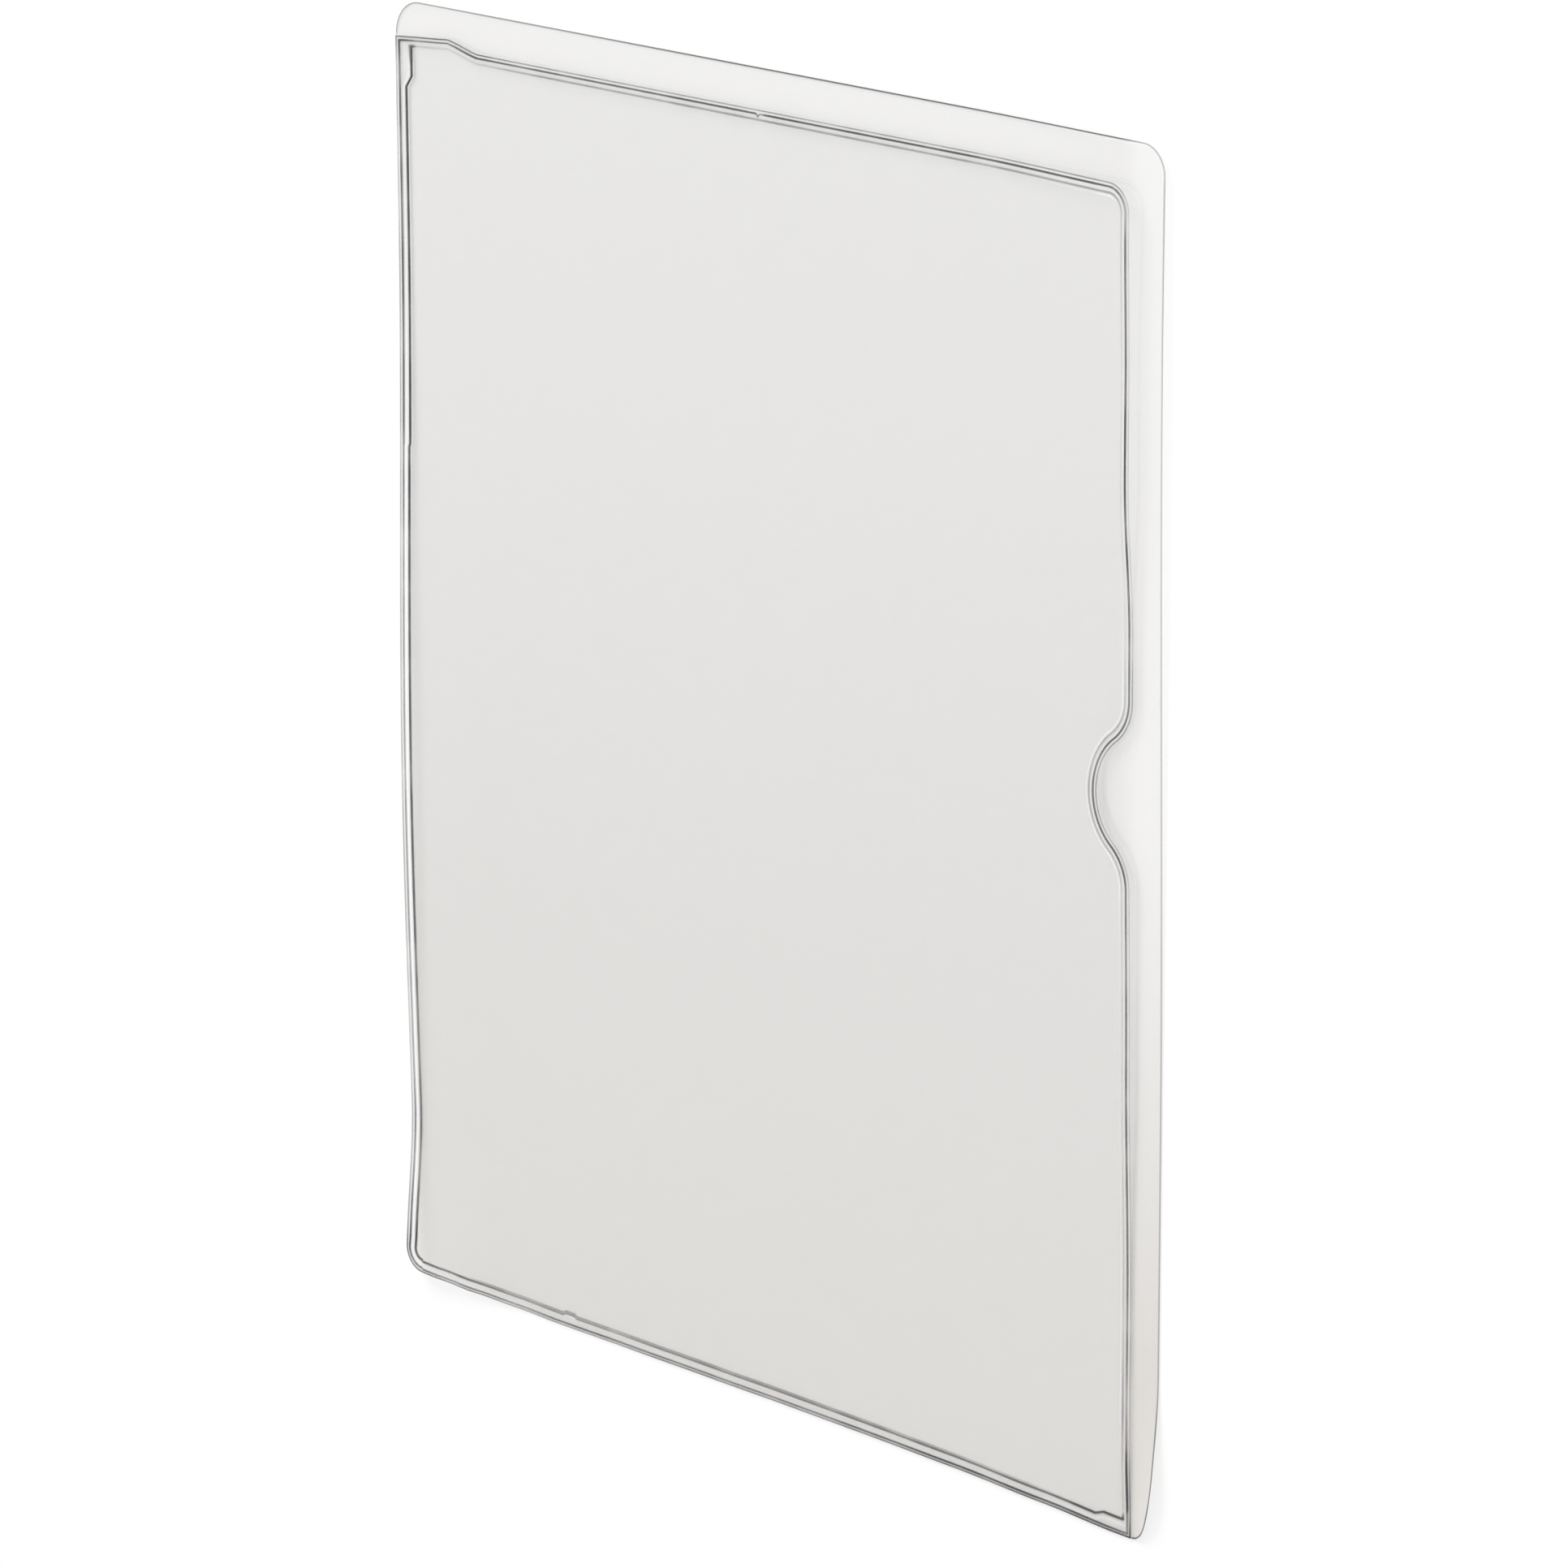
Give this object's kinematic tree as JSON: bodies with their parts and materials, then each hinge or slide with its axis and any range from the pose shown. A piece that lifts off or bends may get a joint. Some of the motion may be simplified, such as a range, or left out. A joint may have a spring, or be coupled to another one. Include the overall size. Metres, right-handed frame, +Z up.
{
  "type": "vinyl file jacket",
  "caption": "Clear vinyl file jacket for letter paper: two welded sheets, open at the top and one side, with a thumb notch in the front sheet.",
  "frame": {"origin": "middle of the back sheet, on the plane that the jacket lies on", "axes": "+X towards the open side with the thumb notch, +Y towards the open top, +Z up, out of the front sheet"},
  "size_m": [0.2414, 0.2984, 0.0042],
  "materials": {
    "clear_vinyl": "gloss"
  },
  "bodies": {
    "root": {"back_sheet": "clear_vinyl", "front_sheet": "clear_vinyl"}
  },
  "joints": []
}
